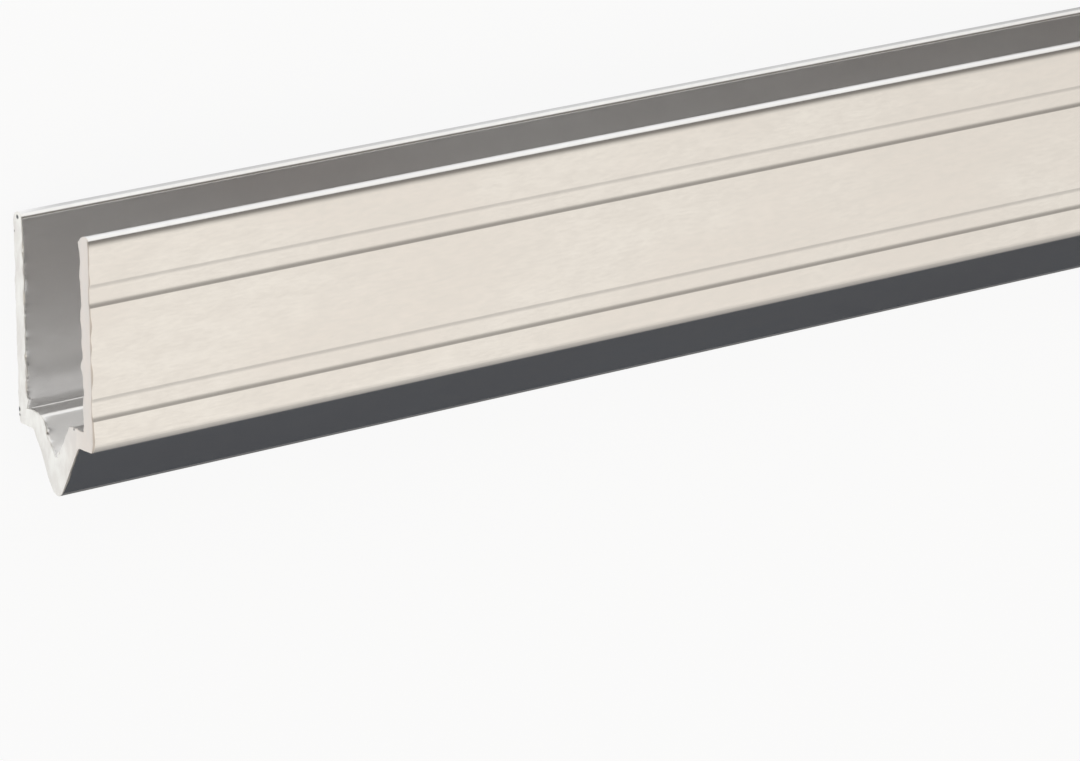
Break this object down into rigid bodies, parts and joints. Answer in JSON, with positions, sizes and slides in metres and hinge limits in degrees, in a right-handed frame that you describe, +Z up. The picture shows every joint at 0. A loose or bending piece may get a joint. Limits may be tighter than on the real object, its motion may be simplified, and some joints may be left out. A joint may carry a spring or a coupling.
{
  "type": "aluminium extrusion profile",
  "caption": "Straight aluminium extrusion with a deep slot for a panel edge between grooved walls, and a V-shaped tongue along its back that seats in a matching profile.",
  "frame": {"origin": "on the floor, under the middle of the bar's length and of its overall height across the floor", "axes": "+X along the bar, +Y towards the mouth of the panel slot, +Z up from the rear wall to the front wall"},
  "size_m": [1, 0.027, 0.013],
  "materials": {
    "mill_aluminium": "mill finish as extruded, with fine lines along the bar and bright saw-cut ends"
  },
  "bodies": {
    "root": {"tongue_profile": "mill_aluminium"}
  },
  "joints": []
}
